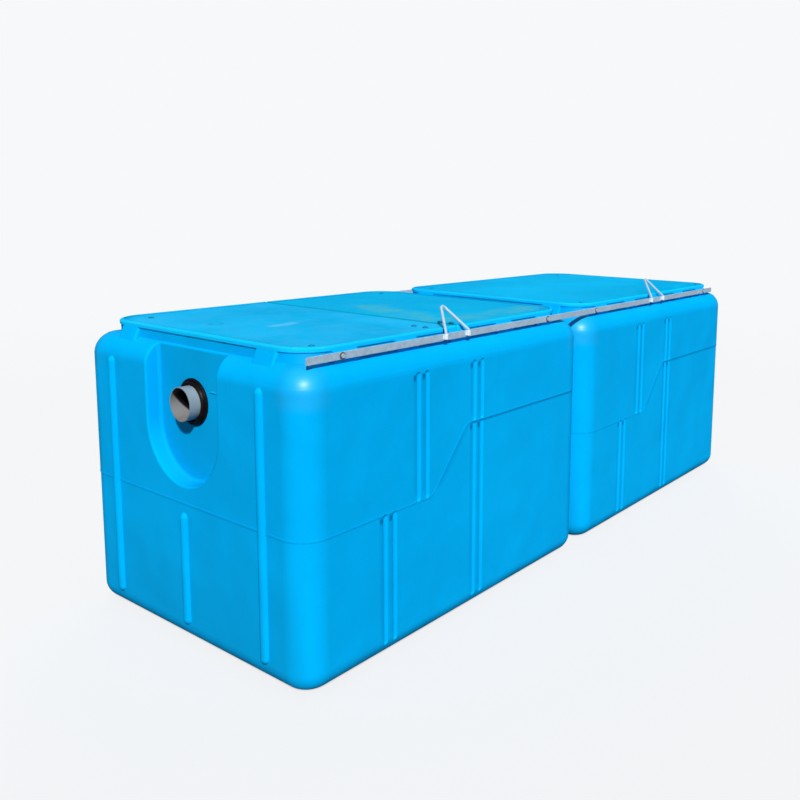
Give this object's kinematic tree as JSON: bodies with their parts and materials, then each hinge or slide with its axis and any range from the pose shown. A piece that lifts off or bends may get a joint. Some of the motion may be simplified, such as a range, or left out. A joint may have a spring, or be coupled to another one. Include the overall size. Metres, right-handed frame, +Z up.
{
  "type": "oil separator",
  "caption": "Oil separator of box-shaped moulded plastic tanks joined in line, with grooved walls, flat covers, pipe stubs in end pockets, and steel rails with lifting lugs.",
  "frame": {"origin": "middle of the pair of tanks, at floor level", "axes": "+X along the length from the inlet end to the outlet end, +Z up, the side with the lifting lugs at -Y"},
  "size_m": [3.001, 1.152, 1.092],
  "materials": {
    "tank_polyethylene": "satin moulded",
    "cover_polyethylene": "dusty, matt",
    "pipe_plastic": "smooth",
    "seal_rubber": "matt",
    "galvanised_steel": "galvanised",
    "sleeve_steel": "zinc coated"
  },
  "bodies": {
    "root": {"front_tank_shell": "tank_polyethylene", "rear_tank_shell": "tank_polyethylene", "front_tank_front_end": "tank_polyethylene", "front_tank_rear_end": "tank_polyethylene", "rear_tank_front_end": "tank_polyethylene", "rear_tank_rear_end": "tank_polyethylene", "front_tank_top": "tank_polyethylene", "rear_tank_top": "tank_polyethylene", "front_tank_inlet_cover": "cover_polyethylene", "front_tank_rear_cover": "cover_polyethylene", "rear_tank_cover": "cover_polyethylene", "inlet_pipe": "pipe_plastic", "transfer_pipe": "pipe_plastic", "outlet_pipe": "pipe_plastic", "inlet_seal": "seal_rubber", "front_transfer_seal": "seal_rubber", "rear_transfer_seal": "seal_rubber", "outlet_seal": "seal_rubber", "right_rail": "galvanised_steel", "left_rail": "galvanised_steel", "front_lifting_lug": "galvanised_steel", "rear_lifting_lug": "galvanised_steel", "front_lug_front_sleeve": "sleeve_steel", "front_lug_rear_sleeve": "sleeve_steel", "rear_lug_front_sleeve": "sleeve_steel", "rear_lug_rear_sleeve": "sleeve_steel"}
  },
  "joints": []
}
